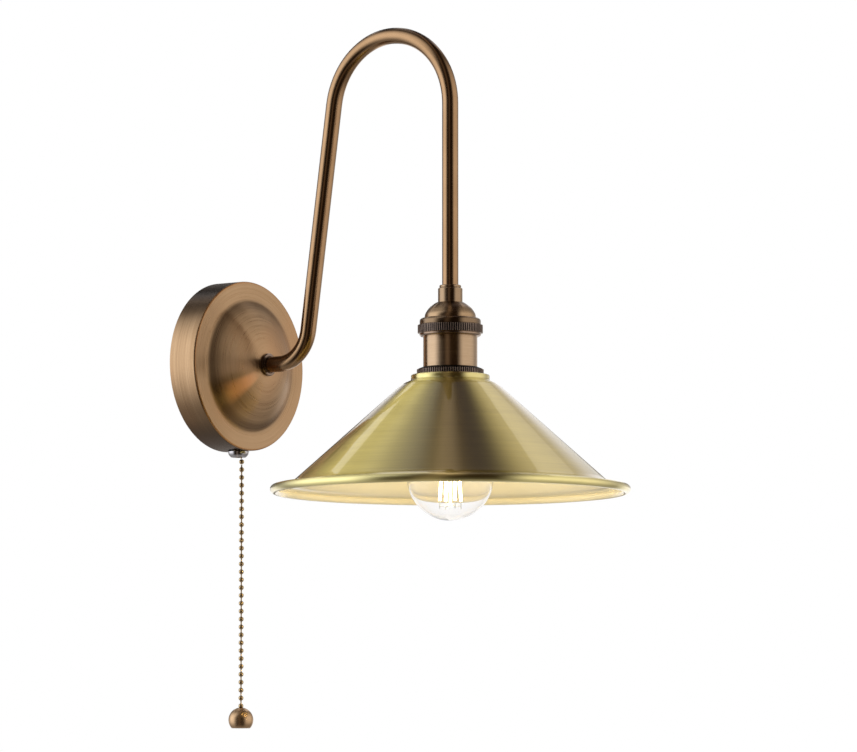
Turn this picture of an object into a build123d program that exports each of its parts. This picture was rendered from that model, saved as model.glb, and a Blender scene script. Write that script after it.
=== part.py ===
from build123d import *
from math import atan2, cos, hypot, pi, radians, sin, sqrt, tan
import os

os.makedirs("parts", exist_ok=True)

# Swan-neck wall light with a pull switch. Millimetres.
# Origin: centre of the back plane, where the wall is (wall = plane Y 0). The light stands out along -Y, +Z is up.
# The arm lies in the plane X 0.

# ---------------------------------------------------------------- driving dimensions
cover_r = 60.0            # round cover, radius
cover_depth = 23.0        # wall to the flat outer ring of the face
cover_sheet = 1.0         # spun sheet
cover_edge_r = 1.4        # rounding between side wall and face
dish_foot_r = 49.0        # radius where the flat ring turns up into the raised dish
dish_rim_r = 45.0         # radius where that turn meets the dish's steep edge
dish_rim_d = 24.4         # wall to that edge
boss_r = 8.6              # flat spot at the top of the dish
boss_d = 39.5             # wall to that flat spot

tube_r = 5.6              # arm tube, outside radius
tube_ri = 4.5             # arm tube, inside radius
lean = 0.1459             # forward lean of the rising leg, mm per mm of height
lean_y0 = -73.28          # rising leg's centreline at Z 0
foot_bend_r = 26.0        # lower bend, centreline radius
arch_r = 51.87            # arch, centreline radius
holder_y = -202.7         # axis of the falling leg, lampholder, shade and lamp
arm_end_z = 36.5          # lower end of the tube, inside the entry bush

thread_r = 4.9            # M10 x 1 hollow thread, outside radius
nipple_bore_r = 3.7

shade_rim_r = 124.0       # outermost radius of the shade
shade_top_z = -16.1       # top of the shade's flat collar
shade_sheet = 1.0
bead_r = 3.0              # rolled rim
bead_z = -95.2

skirt_r = 18.65           # lampholder skirt
skirt_ri = 17.3
skirt_bottom_z = -40.0
ring_teeth = 88           # knurl on both kinds of ring

lamp_r = 30.0             # lamp envelope
lamp_z = -86.5            # centre of the envelope
glass_t = 0.7

chain_x = 0.9             # hanging line of the chain
chain_y = -15.1
bead_rad = 1.8
bead_pitch = 5.57
bead_count = 32
first_bead_z = -67.5
link_gap = 0.3            # free space between a bead that turns and the link wires on it
pivot_z = -67.5           # first bead under the collar, where the chain bends as it swings
ball_r = 8.775
ball_z = -250.0
ball_flat = 5.8           # flat underside, below the ball's centre

switch_y = -12.9          # axis of the switch bush
lever_px = -9.0           # lever pivot
lever_pz = -46.0

front = Plane.XZ                        # normal towards the room (-Y), local x = X, local y = Z
holder = Plane.XZ.offset(-holder_y)     # the same, through the lampholder's axis
holder_axis = Axis((0, holder_y, 0), (0, 0, 1))

# ================================================================ wall unit

# Round cover: straight side, flat outer ring, soft turn up into a domed dish that flattens towards the middle, flat spot for the arm.
with BuildPart() as backplate_cover:
    with BuildSketch(Plane.XY):
        with BuildLine():
            ri = cover_r - cover_sheet
            Polyline((ri, 0), (cover_r, 0), (cover_r, -cover_depth + cover_edge_r))
            RadiusArc((cover_r, -cover_depth + cover_edge_r), (cover_r - cover_edge_r, -cover_depth), cover_edge_r)
            Line((cover_r - cover_edge_r, -cover_depth), (dish_foot_r, -cover_depth))
            ThreePointArc((dish_foot_r, -cover_depth), (46.885, -23.36), (dish_rim_r, -dish_rim_d))
            Spline((dish_rim_r, -dish_rim_d), (41.0, -27.32), (36.0, -30.53), (29.0, -34.22), (22.0, -36.94), (15.0, -38.72), (boss_r, -boss_d), tangents=[(-1, -0.8), (-1, -0.06)])
            Polyline((boss_r, -boss_d), (5.0, -boss_d), (5.0, -boss_d + cover_sheet), (8.3, -boss_d + cover_sheet))
            Spline((8.3, -boss_d + cover_sheet), (14.82, -37.74), (21.69, -35.99), (28.58, -33.31), (35.49, -29.67), (40.43, -26.5), (44.377, -23.62), tangents=[(1, 0.06), (1, 0.8)])
            ThreePointArc((44.377, -23.62), (46.554, -22.416), (dish_foot_r, -22.0))
            Line((dish_foot_r, -22.0), (ri - 0.5, -22.0))
            RadiusArc((ri - 0.5, -22.0), (ri, -21.5), -0.5)
            Line((ri, -21.5), (ri, 0))
        make_face()
    revolve(axis=Axis.Y)
    with BuildSketch(Plane.YZ.offset(56)):
        with Locations((-11.5, 0)):
            Circle(2.2)
    extrude(amount=6, mode=Mode.SUBTRACT)
    with BuildSketch(Plane.XY.offset(-61)):
        with Locations((0, switch_y)):
            Circle(5.0)
    extrude(amount=4, mode=Mode.SUBTRACT)
backplate_cover.part.label = "backplate_cover"
export_step(backplate_cover.part, "parts/backplate_cover.step")

# Steel disc screwed to the wall: two slots, cable entry, folded screw tab on one side, stepped tongue on the other.
with BuildPart() as wall_bracket:
    with BuildSketch(front):
        Circle(54)
        with Locations((-54, 0)):
            Rectangle(11, 20, mode=Mode.SUBTRACT)
        Circle(10, mode=Mode.SUBTRACT)
        with Locations((-36, 0), (36, 0)):
            SlotOverall(16, 5, mode=Mode.SUBTRACT)
        with Locations((-24, -22)):
            Circle(2.0, mode=Mode.SUBTRACT)
        with Locations((4, 30)):
            Circle(1.35, mode=Mode.SUBTRACT)
    extrude(amount=1.5)
    with BuildSketch(Plane.XY.offset(-8)):
        with BuildLine():
            Polyline((51.0, -1.5), (51.0, 0), (55.5, 0), (55.5, -16.5), (54.0, -16.5), (54.0, -3.0), (52.5, -1.5), close=True)
        make_face()
    extrude(amount=16)
    with BuildSketch(Plane.YZ.offset(50)):
        with Locations((-11.5, 0)):
            Circle(2.25)
    extrude(amount=8, mode=Mode.SUBTRACT)
    with BuildSketch(Plane.XY.offset(-8.5)):
        with BuildLine():
            Polyline((-47, 0), (-49.5, 0), (-51.6, -3.0), (-57.0, -3.0), (-57.0, -4.5), (-50.8, -4.5), (-48.7, -1.5), (-47, -1.5), close=True)
        make_face()
    extrude(amount=17)
wall_bracket.part.label = "wall_bracket"
export_step(wall_bracket.part, "parts/wall_bracket.step")

# Catch spot-welded to the inside of the cover; its lip goes behind the bracket's tongue.
with BuildPart() as cover_catch:
    with BuildSketch(front.offset(1.2)):
        Circle(59)
        Circle(58, mode=Mode.SUBTRACT)
        with Locations((-58, 0)):
            Rectangle(12, 14, mode=Mode.INTERSECT)
    extrude(amount=8)
    with BuildSketch(front.offset(1.2)):
        with Locations((-55.6, 0)):
            Rectangle(5.4, 14)
    extrude(amount=1.0)
cover_catch.part.label = "cover_catch"
export_step(cover_catch.part, "parts/cover_catch.step")

# Cover screw through the side wall into a nut pressed into the bracket tab.
with BuildPart() as cover_screw:
    with BuildSketch(Plane.XY.offset(0)):
        with BuildLine():
            l1 = Polyline((49.5, -11.5), (49.5, -13.1), (49.9, -13.5), (60.05, -13.5), (60.05, -15.4), (61.0, -15.4))
            l2 = ThreePointArc((61.0, -15.4), (62.1, -13.9), (62.45, -11.5))
            Line((62.45, -11.5), (49.5, -11.5))
        make_face()
    revolve(axis=Axis((49.5, -11.5, 0), (1, 0, 0)))
    with BuildSketch(Plane.YZ.offset(61.4)):
        with Locations((-11.5, 0)):
            Rectangle(1.0, 5.2)
            Rectangle(5.2, 1.0)
    extrude(amount=2, mode=Mode.SUBTRACT)
cover_screw.part.label = "cover_screw"
export_step(cover_screw.part, "parts/cover_screw.step")

with BuildPart() as bracket_nut:
    with BuildSketch(Plane.YZ.offset(50.8)):
        with Locations((-11.5, 0)):
            RegularPolygon(3.5, 6, major_radius=False)
            Circle(2.0, mode=Mode.SUBTRACT)
    extrude(amount=3.2)
bracket_nut.part.label = "bracket_nut"
export_step(bracket_nut.part, "parts/bracket_nut.step")

# Three-way terminal block above the cable entry.
tb_z0, tb_z1 = 22.5, 38.5
tb_zc = (tb_z0 + tb_z1) / 2
with BuildPart() as terminal_block:
    with BuildSketch(front.offset(1.5)):
        with Locations((0, tb_zc)):
            RectangleRounded(26, tb_z1 - tb_z0, 1.2)
    extrude(amount=8)
    for wx in (-8, 0, 8):
        with BuildSketch(front.offset(9.5)):
            with Locations((wx, tb_zc)):
                RectangleRounded(6.6, tb_z1 - tb_z0, 1.2)
        extrude(amount=5)
    with BuildSketch(Plane.XY.offset(tb_z0 - 1)):
        with Locations((-8, -8), (0, -8), (8, -8)):
            Circle(2.55)
    extrude(amount=tb_z1 - tb_z0 + 2, mode=Mode.SUBTRACT)
    with BuildSketch(front.offset(8)):
        with Locations(*[(wx, tb_zc + dz) for wx in (-8, 0, 8) for dz in (-4.5, 4.5)]):
            Circle(1.9)
    extrude(amount=10, mode=Mode.SUBTRACT)
    with BuildSketch(front.offset(1)):
        with Locations((4, 30), (-4, 30)):
            Circle(1.35)
    extrude(amount=15, mode=Mode.SUBTRACT)
    with BuildSketch(front.offset(9.5)):
        with Locations((4, 30), (-4, 30)):
            Circle(2.0)
    extrude(amount=6, mode=Mode.SUBTRACT)
terminal_block.part.label = "terminal_block"
export_step(terminal_block.part, "parts/terminal_block.step")

with BuildPart() as terminal_inserts:
    with BuildSketch(Plane.XY.offset(tb_z0 + 1)):
        with Locations((-8, -8), (0, -8), (8, -8)):
            Circle(2.5)
            Circle(1.6, mode=Mode.SUBTRACT)
    extrude(amount=tb_z1 - tb_z0 - 2)
    with BuildSketch(front.offset(8)):
        with Locations(*[(wx, tb_zc + dz) for wx in (-8, 0, 8) for dz in (-4.5, 4.5)]):
            Circle(1.45)
    extrude(amount=4, mode=Mode.SUBTRACT)
terminal_inserts.part.label = "terminal_inserts"
export_step(terminal_inserts.part, "parts/terminal_inserts.step")

with BuildPart() as terminal_screws:
    with BuildSketch(front.offset(9.7)):
        with Locations(*[(wx, tb_zc + dz) for wx in (-8, 0, 8) for dz in (-4.5, 4.5)]):
            Circle(1.4)
    extrude(amount=3.6)
    with BuildSketch(front.offset(12.6)):
        with Locations(*[(wx, tb_zc + dz) for wx in (-8, 0, 8) for dz in (-4.5, 4.5)]):
            Rectangle(3.2, 0.5)
    extrude(amount=1, mode=Mode.SUBTRACT)
terminal_screws.part.label = "terminal_screws"
export_step(terminal_screws.part, "parts/terminal_screws.step")

with BuildPart() as terminal_block_screw:
    with BuildSketch(front.offset(0.3)):
        with Locations((4, 30)):
            Circle(1.3)
    extrude(amount=9.25)
    with BuildSketch(front.offset(9.55)):
        with Locations((4, 30)):
            Circle(1.85)
    extrude(amount=1.6)
    with BuildSketch(front.offset(10.5)):
        with Locations((4, 30)):
            Rectangle(6, 0.6)
    extrude(amount=1, mode=Mode.SUBTRACT)
terminal_block_screw.part.label = "terminal_block_screw"
export_step(terminal_block_screw.part, "parts/terminal_block_screw.step")

# Protective earth on the bracket.
with BuildPart() as earth_screw:
    with BuildSketch(front.offset(0.2)):
        with Locations((-24, -22)):
            Circle(1.98)
    extrude(amount=2.2)
    with BuildSketch(front.offset(2.4)):
        with Locations((-24, -22)):
            Circle(3.6)
    extrude(amount=2.4)
    fillet(earth_screw.faces().sort_by(Axis.Y)[0].edges(), 0.8)
    with BuildSketch(front.offset(3.8)):
        with Locations((-24, -22)):
            Rectangle(5.4, 0.9)
            Rectangle(0.9, 5.4)
    extrude(amount=2, mode=Mode.SUBTRACT)
earth_screw.part.label = "earth_screw"
export_step(earth_screw.part, "parts/earth_screw.step")

with BuildPart() as earth_lug:
    with BuildSketch(front.offset(1.5)):
        with Locations((-24, -22)):
            Circle(4.2)
        with Locations((-30, -22)):
            Rectangle(8, 3.2)
        with Locations((-24, -22)):
            Circle(2.05, mode=Mode.SUBTRACT)
    extrude(amount=0.9)
    with BuildSketch(Plane.YZ.offset(-39.5)):
        with Locations((-3.6, -22)):
            Circle(2.1)
            Circle(1.25, mode=Mode.SUBTRACT)
    extrude(amount=6)
earth_lug.part.label = "earth_lug"
export_step(earth_lug.part, "parts/earth_lug.step")

# ================================================================ arm
ln = sqrt(1 + lean * lean)
c1z = foot_bend_r
c1y = foot_bend_r * ln + lean_y0 - lean * c1z
t1 = (c1y - foot_bend_r / ln, c1z - foot_bend_r * lean / ln)
c2y = holder_y + arch_r
c2z = (-arch_r * ln + lean_y0 - c2y) / lean
t2 = (c2y + arch_r / ln, c2z + arch_r * lean / ln)
a0 = atan2(-1, 0)
a1 = atan2(t1[1] - c1z, t1[0] - c1y)
am = (a0 + (a1 if a1 < 0 else a1 - 2 * pi)) / 2
m1 = (c1y + foot_bend_r * cos(am), c1z + foot_bend_r * sin(am))
collar_front_y = -41.6


def arm_path(start_y, end_z):
    """Centreline of the arm: level, lower bend, leaning leg, arch, plumb leg."""
    Line((0, start_y, 0), (0, c1y, 0))
    ThreePointArc((0, c1y, 0), (0, m1[0], m1[1]), (0, t1[0], t1[1]))
    Line((0, t1[0], t1[1]), (0, t2[0], t2[1]))
    ThreePointArc((0, t2[0], t2[1]), (0, c2y, c2z + arch_r), (0, holder_y, c2z))
    Line((0, holder_y, c2z), (0, holder_y, end_z))


with BuildPart() as swan_neck_arm:
    with BuildLine():
        arm_path(collar_front_y, arm_end_z)
    with BuildSketch(Plane(origin=(0, collar_front_y, 0), z_dir=(0, -1, 0))):
        Circle(tube_r)
        Circle(tube_ri, mode=Mode.SUBTRACT)
    sweep()
    with BuildSketch(Plane(origin=(0, collar_front_y, 0), z_dir=(0, -1, 0))):
        Circle(thread_r)
    extrude(amount=8, mode=Mode.SUBTRACT)
swan_neck_arm.part.label = "swan_neck_arm"
export_step(swan_neck_arm.part, "parts/swan_neck_arm.step")

# Small collar between the cover and the tube.
with BuildPart() as arm_collar:
    with BuildSketch(Plane.XY):
        with BuildLine():
            Polyline((thread_r, -boss_d), (8.0, -boss_d), (8.0, -41.1), (7.5, -41.6), (6.2, -41.6), (5.9, -41.3), (5.7, -41.6), (thread_r, -41.6), close=True)
        make_face()
    revolve(axis=Axis.Y)
arm_collar.part.label = "arm_collar"
export_step(arm_collar.part, "parts/arm_collar.step")

with BuildPart() as arm_nipple:
    with BuildSketch(front.offset(28)):
        Circle(thread_r)
        Circle(nipple_bore_r, mode=Mode.SUBTRACT)
    extrude(amount=21)
    chamfer(arm_nipple.edges().filter_by(GeomType.CIRCLE).sort_by(Axis.Y)[-1], 0.4)
arm_nipple.part.label = "arm_nipple"
export_step(arm_nipple.part, "parts/arm_nipple.step")

with BuildPart() as arm_washer:
    with BuildSketch(front.offset(37.7)):
        Circle(6.6)
        with PolarLocations(6.9, 12):
            Rectangle(2.2, 1.8)
        Circle(5.1, mode=Mode.SUBTRACT)
    extrude(amount=0.8)
arm_washer.part.label = "arm_washer"
export_step(arm_washer.part, "parts/arm_washer.step")

with BuildPart() as arm_locknut:
    with BuildSketch(front.offset(34.7)):
        RegularPolygon(7.0, 6, major_radius=False)
        Circle(thread_r, mode=Mode.SUBTRACT)
    extrude(amount=3.0)
arm_locknut.part.label = "arm_locknut"
export_step(arm_locknut.part, "parts/arm_locknut.step")

with BuildPart() as nipple_bush:
    with BuildSketch(Plane.XY):
        with BuildLine():
            Polyline((3.0, -26.2), (6.0, -26.2), (6.0, -28.0), (3.65, -28.0), (3.65, -32.0), (3.0, -32.0), close=True)
        make_face()
    revolve(axis=Axis.Y)
nipple_bush.part.label = "nipple_bush"
export_step(nipple_bush.part, "parts/nipple_bush.step")

# Sheathed three-core flex along the arm's own centreline.
with BuildPart() as arm_flex:
    with BuildLine():
        arm_path(-30.0, 26.0)
    with BuildSketch(Plane(origin=(0, -30.0, 0), z_dir=(0, -1, 0))):
        Circle(2.6)
    sweep()
arm_flex.part.label = "arm_flex"
export_step(arm_flex.part, "parts/arm_flex.step")

# ================================================================ wires in the cover and in the lampholder
core_r = 1.05


def core(points, r):
    """One insulated core along straight runs and tangent arcs."""
    with BuildLine() as run:
        FilletPolyline(*points, radius=r)
    with BuildSketch(Plane(origin=points[0], z_dir=Vector(*points[1]) - Vector(*points[0]))) as section:
        Circle(core_r)
    sweep(sections=section.sketch, path=run.line)


with BuildPart() as wires_brown:
    # supply terminal to the switch
    core([(-8, -8, 25), (-8, -8, 15), (-20, -12, 8), (-20, -14, -13), (3, -14, -19), (3, -12, -32.4)], 4.0)
    # switch to the arm's flex
    core([(0, -29.9, -1.25), (0, -24.0, -1.25), (-7, -24.0, -14), (-9, -12.0, -26), (-9, -12, -32.4)], 2.3)
    # flex to the lamp's centre contact
    core([(0, holder_y - 1.3, 25.9), (0, holder_y - 1.3, 19.5), (-8.0, holder_y, 16.0), (-8.0, holder_y, 12.4)], 2.0)
wires_brown.part.label = "wires_brown"
export_step(wires_brown.part, "parts/wires_brown.step")

with BuildPart() as wires_blue:
    core([(1.2, -29.9, 0.75), (1.2, -24.0, 0.75), (8.2, -24.0, 11.5), (8, -8, 15.0), (8, -8, 25)], 2.3)
    core([(1.15, holder_y + 0.7, 25.9), (1.15, holder_y + 0.7, 20.5), (8.0, holder_y, 16.5), (8.0, holder_y, 12.4)], 2.0)
wires_blue.part.label = "wires_blue"
export_step(wires_blue.part, "parts/wires_blue.step")

with BuildPart() as wires_green_yellow:
    core([(-1.2, -29.9, 0.75), (-1.2, -24.0, 0.75), (-1.0, -24.0, 12.0), (0, -8, 15.5), (0, -8, 25)], 2.3)
    core([(0, -8, 36), (0, -8, 44), (-18, -8, 45), (-38, -7, 30), (-45, -6, 6), (-46.5, -3.6, -22), (-37.5, -3.6, -22)], 4.0)
    core([(-1.15, holder_y + 0.7, 25.9), (-1.15, holder_y + 0.7, 21.5), (-1.15, holder_y + 9.5, 21.5), (-1.15, holder_y + 9.5, 27.2)], 2.0)
wires_green_yellow.part.label = "wires_green_yellow"
export_step(wires_green_yellow.part, "parts/wires_green_yellow.step")

# ================================================================ pull switch
hx0, hx1 = -17.0, 9.0      # housing, left and right
hz0, hz1 = -55.5, -32.5    # housing, bottom and top
hy0, hy1 = 20.6, 6.4       # housing front and rear, distance from the wall
hw = 1.4                   # housing wall

with BuildPart() as switch_housing:
    with BuildSketch(front.offset(hy1)):
        with Locations(((hx0 + hx1) / 2, (hz0 + hz1) / 2)):
            RectangleRounded(hx1 - hx0, hz1 - hz0, 2.0)
    extrude(amount=hy0 - hy1 - hw)
    with BuildSketch(front.offset(hy1 + hw)):
        with Locations(((hx0 + hx1) / 2, (hz0 + hz1) / 2)):
            RectangleRounded(hx1 - hx0 - 2 * hw, hz1 - hz0 - 2 * hw, 1.0)
    extrude(amount=hy0 - hy1, mode=Mode.SUBTRACT)
    # corner posts for the lid screws
    with BuildSketch(front.offset(hy1 + hw)):
        with Locations((hx0 + 3.2, hz0 + 3.2), (hx1 - 3.2, hz1 - 3.2)):
            Circle(2.4)
    extrude(amount=hy0 - hy1 - 2 * hw)
    with BuildSketch(front.offset(hy1 + hw)):
        with Locations((hx0 + 3.2, hz0 + 3.2), (hx1 - 3.2, hz1 - 3.2)):
            Circle(1.0)
    extrude(amount=hy0 - hy1, mode=Mode.SUBTRACT)
    # chain way through the floor and wire ways through the top
    with BuildSketch(Plane.XY.offset(hz0 - 1)):
        with Locations((0, switch_y)):
            Circle(4.15)
    extrude(amount=hw + 2, mode=Mode.SUBTRACT)
    with BuildSketch(Plane.XY.offset(hz1 - hw - 1)):
        with Locations((3, -12), (-9, -12)):
            Circle(1.25)
    extrude(amount=4, mode=Mode.SUBTRACT)
    # seat for the pivot pin
    with BuildSketch(front.offset(hy1 - 1)):
        with Locations((lever_px, lever_pz)):
            Circle(1.2)
    extrude(amount=hw + 2, mode=Mode.SUBTRACT)
switch_housing.part.label = "switch_housing"
export_step(switch_housing.part, "parts/switch_housing.step")

with BuildPart() as switch_lid:
    with BuildSketch(front.offset(hy0 - hw)):
        with Locations(((hx0 + hx1) / 2, (hz0 + hz1) / 2)):
            RectangleRounded(hx1 - hx0, hz1 - hz0, 2.0)
        with Locations((hx0 + 3.2, hz0 + 3.2), (hx1 - 3.2, hz1 - 3.2)):
            Circle(1.0, mode=Mode.SUBTRACT)
        with Locations((lever_px, lever_pz)):
            Circle(1.2, mode=Mode.SUBTRACT)
    extrude(amount=hw)
switch_lid.part.label = "switch_lid"
export_step(switch_lid.part, "parts/switch_lid.step")

with BuildPart() as switch_lid_screws:
    with BuildSketch(front.offset(hy0 - 8)):
        with Locations((hx0 + 3.2, hz0 + 3.2), (hx1 - 3.2, hz1 - 3.2)):
            Circle(0.98)
    extrude(amount=8)
    with BuildSketch(front.offset(hy0)):
        with Locations((hx0 + 3.2, hz0 + 3.2), (hx1 - 3.2, hz1 - 3.2)):
            Circle(1.9)
    extrude(amount=0.9)
switch_lid_screws.part.label = "switch_lid_screws"
export_step(switch_lid_screws.part, "parts/switch_lid_screws.step")

with BuildPart() as switch_bush:
    with BuildSketch(Plane.XY.offset(-61.5)):
        with Locations((0, switch_y)):
            Circle(5.0)
            Circle(4.15, mode=Mode.SUBTRACT)
    extrude(amount=61.5 + hz0)
switch_bush.part.label = "switch_bush"
export_step(switch_bush.part, "parts/switch_bush.step")

with BuildPart() as switch_inner_nut:
    with BuildSketch(Plane.XY.offset(-58.0)):
        with Locations((0, switch_y)):
            RegularPolygon(6.5, 6, major_radius=False)
            Circle(5.0, mode=Mode.SUBTRACT)
    extrude(amount=2.0)
switch_inner_nut.part.label = "switch_inner_nut"
export_step(switch_inner_nut.part, "parts/switch_inner_nut.step")

# Bright bell-mouth collar under the cover: bowl outside, flared guide inside.
with BuildPart() as switch_collar:
    with BuildSketch(Plane.XZ.offset(-switch_y)):
        with BuildLine():
            Line((5.0, -60.0), (7.2, -60.0))
            ThreePointArc((7.2, -60.0), (7.48, -60.2), (7.5, -60.5))
            ThreePointArc((7.5, -60.5), (7.05, -62.4), (5.75, -64.05))
            ThreePointArc((5.75, -64.05), (5.3, -64.35), (4.75, -64.25))
            ThreePointArc((4.75, -64.25), (4.35, -63.3), (4.25, -61.6))
            Polyline((4.25, -61.6), (5.0, -61.55), (5.0, -60.0))
        make_face()
    revolve(axis=Axis((0, switch_y, 0), (0, 0, 1)))
switch_collar.part.label = "switch_collar"
export_step(switch_collar.part, "parts/switch_collar.step")

with BuildPart() as switch_pivot_pin:
    with BuildSketch(front.offset(hy1)):
        with Locations((lever_px, lever_pz)):
            Circle(1.2)
    extrude(amount=hy0 - hy1)
switch_pivot_pin.part.label = "switch_pivot_pin"
export_step(switch_pivot_pin.part, "parts/switch_pivot_pin.step")

# Lever: the chain lead pulls its free end down.
with BuildPart() as switch_lever:
    with BuildSketch(front.offset(12.15)):
        with Locations((lever_px, lever_pz)):
            Circle(3.2)
        with Locations((lever_px + 5.6, lever_pz)):
            Rectangle(8.0, 3.6)
        with Locations((0, lever_pz)):
            Circle(2.0)
        with Locations((lever_px, lever_pz)):
            Circle(1.26, mode=Mode.SUBTRACT)
        with Locations((0, lever_pz)):
            Circle(0.9, mode=Mode.SUBTRACT)
    extrude(amount=1.5)
switch_lever.part.label = "switch_lever"
export_step(switch_lever.part, "parts/switch_lever.step")

# Rotor: eight ratchet teeth in front, contact drum behind.
rotor_pts = []
for k in range(8):
    b = 2 * pi * k / 8
    rotor_pts += [(lever_px + 4.2 * cos(b), lever_pz + 4.2 * sin(b)), (lever_px + 5.4 * cos(b + 0.62), lever_pz + 5.4 * sin(b + 0.62)), (lever_px + 4.2 * cos(b + 0.66), lever_pz + 4.2 * sin(b + 0.66))]
with BuildPart() as switch_rotor:
    with BuildSketch(front.offset(10.2)):
        with BuildLine():
            Polyline(*rotor_pts, close=True)
        make_face()
        with Locations((lever_px, lever_pz)):
            Circle(1.26, mode=Mode.SUBTRACT)
    extrude(amount=1.6)
    with BuildSketch(front.offset(8.2)):
        with Locations((lever_px, lever_pz)):
            Circle(4.6)
            Circle(1.26, mode=Mode.SUBTRACT)
    extrude(amount=2.0)
switch_rotor.part.label = "switch_rotor"
export_step(switch_rotor.part, "parts/switch_rotor.step")

# Two springy contact blades that bear on the drum, left and right.
with BuildPart() as switch_contacts:
    with BuildSketch(front.offset(8.3)):
        with BuildLine():
            Polyline((-4.1, -33.9), (-3.6, -33.9), (-3.6, -46.0), (-4.1, -46.0), close=True)
        make_face()
        with BuildLine():
            Polyline((-14.4, -33.9), (-13.9, -33.9), (-13.9, -46.0), (-14.4, -46.0), close=True)
        make_face()
    extrude(amount=1.6)
switch_contacts.part.label = "switch_contacts"
export_step(switch_contacts.part, "parts/switch_contacts.step")

# Return spring coiled on the pivot pin between lever and lid.
with BuildPart() as switch_spring:
    with BuildLine():
        Helix(pitch=1.0, height=3.5, radius=2.0, center=(lever_px, -14.6, lever_pz), direction=(0, -1, 0))
    with BuildSketch(Plane(origin=switch_spring.pending_edges[0] @ 0, z_dir=switch_spring.pending_edges[0] % 0)):
        Circle(0.3)
    sweep(is_frenet=True)
switch_spring.part.label = "switch_spring"
export_step(switch_spring.part, "parts/switch_spring.step")

# ================================================================ pull chain
# Lead inside the bush: link wire and three beads, leaning from the lever's end to the side of the mouth it hangs from.
lead_top = Vector(0, switch_y, -48.35)
chain_pivot = Vector(chain_x, chain_y, pivot_z)
lead_dir = (chain_pivot - lead_top).normalized()
lead_beads = [chain_pivot - lead_dir * (bead_pitch * k) for k in (1, 2, 3)]
with BuildPart() as chain_lead:
    with BuildSketch(Plane(origin=lead_top, z_dir=lead_dir)):
        Circle(0.5)
    extrude(amount=(chain_pivot - lead_top).length - bead_rad - link_gap)
    with Locations(*[tuple(p) for p in lead_beads]):
        Sphere(bead_rad)
chain_lead.part.label = "chain_lead"
export_step(chain_lead.part, "parts/chain_lead.step")

# Bead that the chain swings about.
with BuildPart() as chain_top_link:
    with Locations((chain_x, chain_y, pivot_z)):
        Sphere(bead_rad)
chain_top_link.part.label = "chain_top_link"
export_step(chain_top_link.part, "parts/chain_top_link.step")

last_bead_z = first_bead_z - bead_pitch * (bead_count - 1)
chain_top_z = pivot_z - bead_rad - link_gap
chain_end_z = last_bead_z - 4
with BuildPart() as pull_chain:
    with BuildSketch(Plane.XZ.offset(-chain_y)):
        with Locations(*[(chain_x, first_bead_z - bead_pitch * k) for k in range(1, bead_count)]):
            Circle(bead_rad)
        with Locations((chain_x, (chain_top_z + chain_end_z) / 2)):
            Rectangle(1.0, chain_top_z - chain_end_z)
        with Locations((chain_x + 5, (first_bead_z + last_bead_z) / 2)):
            Rectangle(10, 400, mode=Mode.INTERSECT)
    revolve(axis=Axis((chain_x, chain_y, 0), (0, 0, 1)))
pull_chain.part.label = "pull_chain"
export_step(pull_chain.part, "parts/pull_chain.step")

with BuildPart() as pull_ball:
    with Locations((chain_x, chain_y, ball_z)):
        Sphere(ball_r)
    with BuildSketch(Plane.XY.offset(ball_z - ball_flat)):
        with Locations((chain_x, chain_y)):
            Circle(20)
    extrude(amount=-20, mode=Mode.SUBTRACT)
    fillet(pull_ball.edges().sort_by(Axis.Z)[0], 0.5)
    with BuildSketch(Plane.XY.offset(ball_z + ball_r - 2.6)):
        with Locations((chain_x, chain_y)):
            Circle(1.95)
    extrude(amount=6, mode=Mode.SUBTRACT)
    with BuildSketch(Plane.XY.offset(ball_z - 2.0)):
        with Locations((chain_x, chain_y)):
            Circle(0.6)
    extrude(amount=16, mode=Mode.SUBTRACT)
pull_ball.part.label = "pull_ball"
export_step(pull_ball.part, "parts/pull_ball.step")

# ================================================================ lampholder
bush_bottom_z = 34.0
with BuildPart() as holder_entry_bush:
    with BuildSketch(holder):
        with BuildLine():
            Polyline((tube_r + 0.03, 45.9), (7.1, 45.9), (7.5, 45.5), (7.5, 44.4), (7.25, 44.1), (7.25, 43.8), (8.1, 43.8), (8.45, 43.45), (8.45, bush_bottom_z), (thread_r, bush_bottom_z), (thread_r, 27.6), (nipple_bore_r, 27.6), (nipple_bore_r, arm_end_z), (tube_r + 0.03, arm_end_z), close=True)
        make_face()
    revolve(axis=holder_axis)
    with BuildSketch(Plane.XZ.offset(-holder_y - 10)):
        with Locations((0, 39.0)):
            Circle(1.5)
    extrude(amount=4.3, mode=Mode.SUBTRACT)
holder_entry_bush.part.label = "holder_entry_bush"
export_step(holder_entry_bush.part, "parts/holder_entry_bush.step")

with BuildPart() as holder_grub_screw:
    with BuildSketch(Plane.XZ.offset(-holder_y - 8.3)):
        with Locations((0, 39.0)):
            Circle(1.5)
            RegularPolygon(0.75, 6, mode=Mode.SUBTRACT)
    extrude(amount=1.6)
    with BuildSketch(Plane.XZ.offset(-holder_y - 6.8)):
        with Locations((0, 39.0)):
            Circle(1.5)
    extrude(amount=1.05)
holder_grub_screw.part.label = "holder_grub_screw"
export_step(holder_grub_screw.part, "parts/holder_grub_screw.step")

# Domed cap with a rolled shoulder at its foot.
dome_a, dome_b, dome_c = 17.7, 13.2, 22.6


def dome_pt(r, t=0.0):
    """Point on the dome's ellipse, t inside its outer face."""
    return (r, dome_c + (dome_b - t) * sqrt(max(0.0, 1 - (r / (dome_a - t)) ** 2)))


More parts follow.
